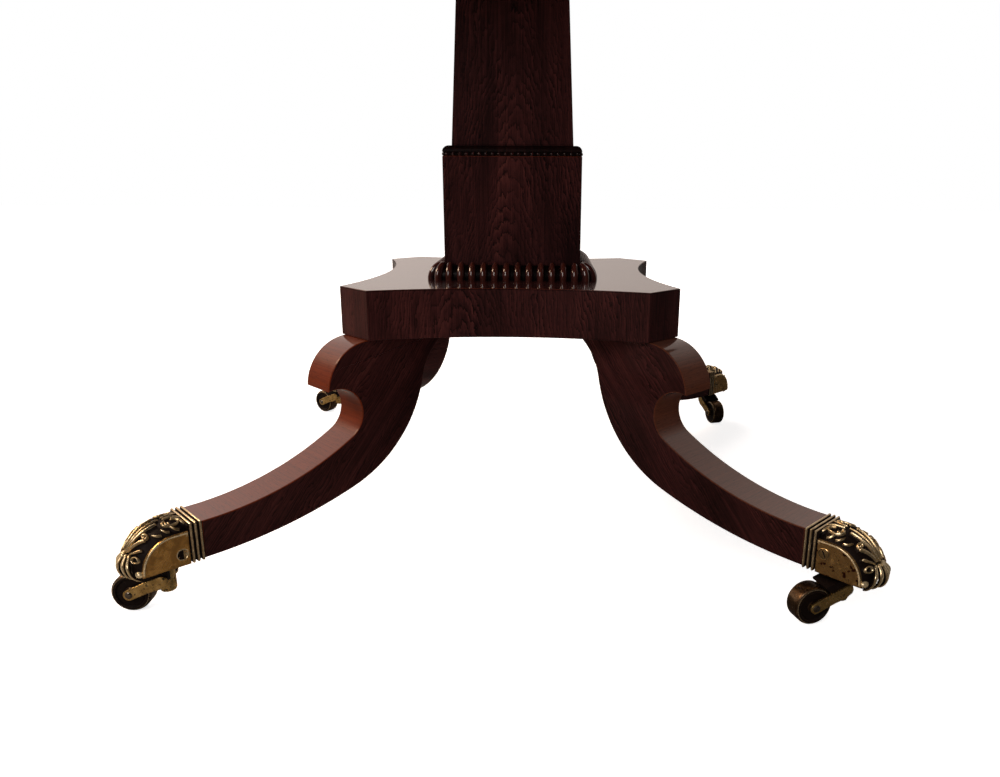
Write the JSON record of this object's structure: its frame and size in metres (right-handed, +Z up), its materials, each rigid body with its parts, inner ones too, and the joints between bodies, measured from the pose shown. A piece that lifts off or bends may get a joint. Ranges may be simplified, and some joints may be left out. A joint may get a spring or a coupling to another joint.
{
  "type": "tilt-top pedestal table",
  "caption": "Tilt-top table: rounded rectangular top hinged on a square tapered column, hollow-sided platform, scroll-kneed sabre legs with brass caps and castors.",
  "frame": {"origin": "on the floor, under the middle of the column", "axes": "+Z up; +X along the top's length; the top tips up from its -Y edge and hangs down behind at +Y"},
  "size_m": [1.14, 0.86, 0.73],
  "materials": {
    "rosewood": "french polished, dark figured veneer",
    "core_wood": "oiled, unpolished",
    "brass": "cast and burnished, dark in the recesses",
    "castor_brass": "cast, aged",
    "wheel_brass": "turned, worn and tarnished",
    "steel": "aged"
  },
  "bodies": {
    "base": {"platform": "rosewood", "column": "rosewood", "column_wedges": "core_wood", "sleeve_block": "rosewood", "bead_strip": "rosewood", "sleeve_moulding": "rosewood", "gadroon_front": "rosewood", "gadroon_right": "rosewood", "gadroon_back": "rosewood", "gadroon_left": "rosewood", "leg_front_left": "rosewood", "leg_front_right": "rosewood", "leg_back_right": "rosewood", "leg_back_left": "rosewood", "leg_dowels": "core_wood", "cap_front_left": "brass", "cap_front_right": "brass", "cap_back_right": "brass", "cap_back_left": "brass", "cap_screws": "steel", "pivot_block": "core_wood", "bolt_keeps": "brass", "keep_screws": "steel"},
    "top": {"top_board": "rosewood", "top_edge": "rosewood", "frieze_front": "rosewood", "frieze_back": "rosewood", "frieze_left": "rosewood", "frieze_right": "rosewood", "frieze_corners": "rosewood", "bearer_left": "core_wood", "bearer_right": "core_wood", "bearer_screws": "steel", "pivot_pins": "steel", "bolt_plates": "brass", "bolt_plate_screws": "steel"},
    "bolt_left": {"bolt_left": "brass"},
    "bolt_right": {"bolt_right": "brass"},
    "castor_front_left": {"fork_front_left": "castor_brass", "axle_front_left": "steel"},
    "wheel_front_left": {"wheel_front_left": "wheel_brass"},
    "castor_front_right": {"fork_front_right": "castor_brass", "axle_front_right": "steel"},
    "wheel_front_right": {"wheel_front_right": "wheel_brass"},
    "castor_back_right": {"fork_back_right": "castor_brass", "axle_back_right": "steel"},
    "wheel_back_right": {"wheel_back_right": "wheel_brass"},
    "castor_back_left": {"fork_back_left": "castor_brass", "axle_back_left": "steel"},
    "wheel_back_left": {"wheel_back_left": "wheel_brass"}
  },
  "joints": [
    {"name": "top_tilt", "type": "hinge", "parent": "base", "child": "top", "pos_m": [0, 0.107, 0.6876], "axis": [-1, 0, 0], "range_deg": [0, 90]},
    {"name": "bolt_left_slide", "type": "slide", "parent": "top", "child": "bolt_left", "axis": [0, 1, 0], "range_m": [0, 0.012]},
    {"name": "bolt_right_slide", "type": "slide", "parent": "top", "child": "bolt_right", "axis": [0, 1, 0], "range_m": [0, 0.012]},
    {"name": "castor_front_left_swivel", "type": "hinge", "parent": "base", "child": "castor_front_left", "pos_m": [-0.29557, -0.29557, 0.045], "axis": [0, 0, 1], "continuous": true},
    {"name": "wheel_front_left_roll", "type": "hinge", "parent": "castor_front_left", "child": "wheel_front_left", "pos_m": [-0.32555, -0.29662, 0.0175], "axis": [0.0349, -0.9994, 0], "continuous": true},
    {"name": "castor_front_right_swivel", "type": "hinge", "parent": "base", "child": "castor_front_right", "pos_m": [0.29557, -0.29557, 0.045], "axis": [0, 0, 1], "continuous": true},
    {"name": "wheel_front_right_roll", "type": "hinge", "parent": "castor_front_right", "child": "wheel_front_right", "pos_m": [0.26673, -0.30384, 0.0175], "axis": [0.2756, -0.9613, 0], "continuous": true},
    {"name": "castor_back_right_swivel", "type": "hinge", "parent": "base", "child": "castor_back_right", "pos_m": [0.29557, 0.29557, 0.045], "axis": [0, 0, 1], "continuous": true},
    {"name": "wheel_back_right_roll", "type": "hinge", "parent": "castor_back_right", "child": "wheel_back_right", "pos_m": [0.30334, 0.26659, 0.0175], "axis": [0.9659, 0.2588, 0], "continuous": true},
    {"name": "castor_back_left_swivel", "type": "hinge", "parent": "base", "child": "castor_back_left", "pos_m": [-0.29557, 0.29557, 0.045], "axis": [0, 0, 1], "continuous": true},
    {"name": "wheel_back_left_roll", "type": "hinge", "parent": "castor_back_left", "child": "wheel_back_left", "pos_m": [-0.32155, 0.31057, 0.0175], "axis": [-0.5, -0.866, 0], "continuous": true}
  ]
}
